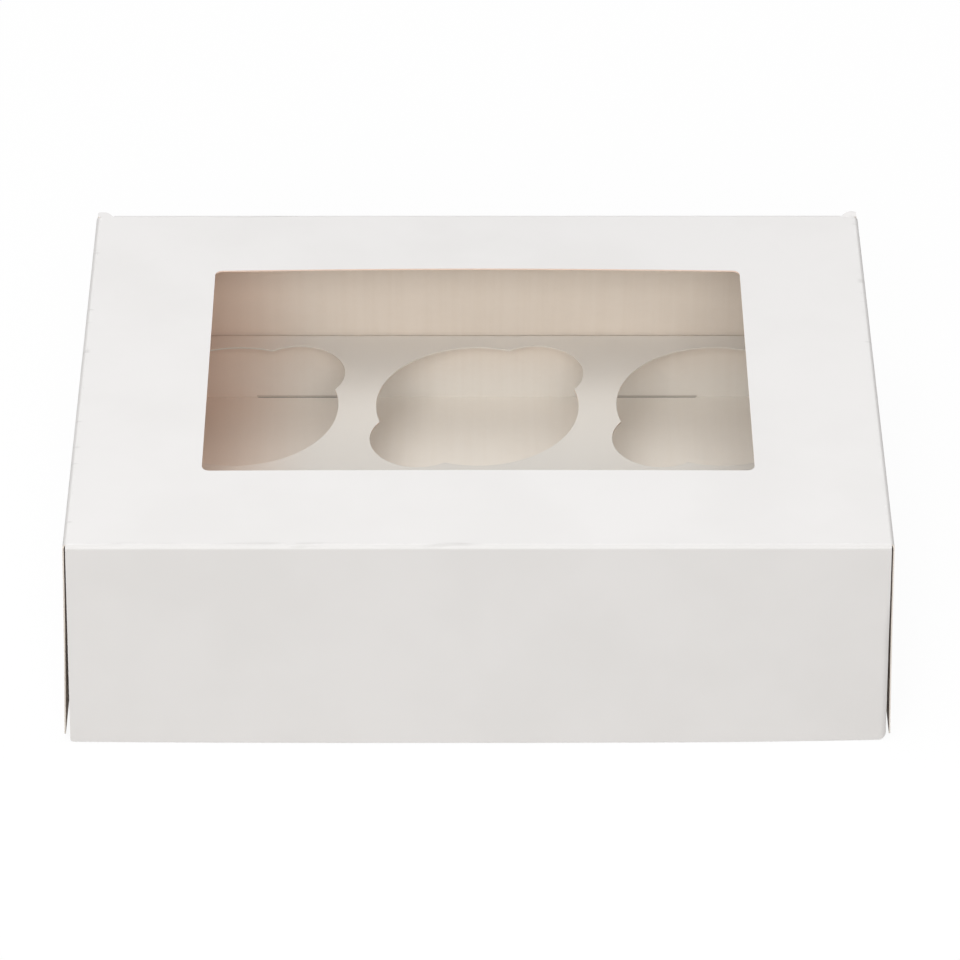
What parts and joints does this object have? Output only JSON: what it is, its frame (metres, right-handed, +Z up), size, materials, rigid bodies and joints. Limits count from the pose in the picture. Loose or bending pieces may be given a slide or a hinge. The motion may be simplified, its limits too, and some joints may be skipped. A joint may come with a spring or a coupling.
{
  "type": "cupcake box",
  "caption": "White folding-carton cupcake box with a hinged window lid, outer lid flaps and a raised insert card with finger-notched round holes.",
  "frame": {"origin": "centre of the box's footprint, on the surface that it stands on", "axes": "+X along the wide front to the right, +Y from the front flap to the lid's hinge at the back, +Z up"},
  "size_m": [0.2548, 0.1826, 0.073],
  "materials": {
    "tray_board": "thin carton board, uncoated cream inside and matt white outside",
    "insert_board": "thin carton board, off-white satin top with a cream underside",
    "lid_board": "thin carton board, clay-coated white outside with a faint satin, cream inside",
    "clear_film": "thin clear window film, glossy"
  },
  "bodies": {
    "tray": {"base_tray": "tray_board", "cupcake_insert": "insert_board"},
    "lid": {"lid_panel": "lid_board", "window_film": "clear_film"},
    "front_flap": {"front_flap": "lid_board"},
    "left_flap": {"left_flap": "lid_board"},
    "right_flap": {"right_flap": "lid_board"}
  },
  "joints": [
    {"name": "lid_hinge", "type": "hinge", "parent": "tray", "child": "lid", "pos_m": [0, 0.09, 0.0717], "axis": [-1, 0, 0], "range_deg": [0, 180]},
    {"name": "front_flap_hinge", "type": "hinge", "parent": "lid", "child": "front_flap", "pos_m": [0, -0.09, 0.0717], "axis": [-1, 0, 0], "range_deg": [0, 90]},
    {"name": "left_flap_hinge", "type": "hinge", "parent": "lid", "child": "left_flap", "pos_m": [-0.125, 0, 0.0717], "axis": [0, 1, 0], "range_deg": [0, 90]},
    {"name": "right_flap_hinge", "type": "hinge", "parent": "lid", "child": "right_flap", "pos_m": [0.125, 0, 0.0717], "axis": [0, -1, 0], "range_deg": [0, 90]}
  ]
}
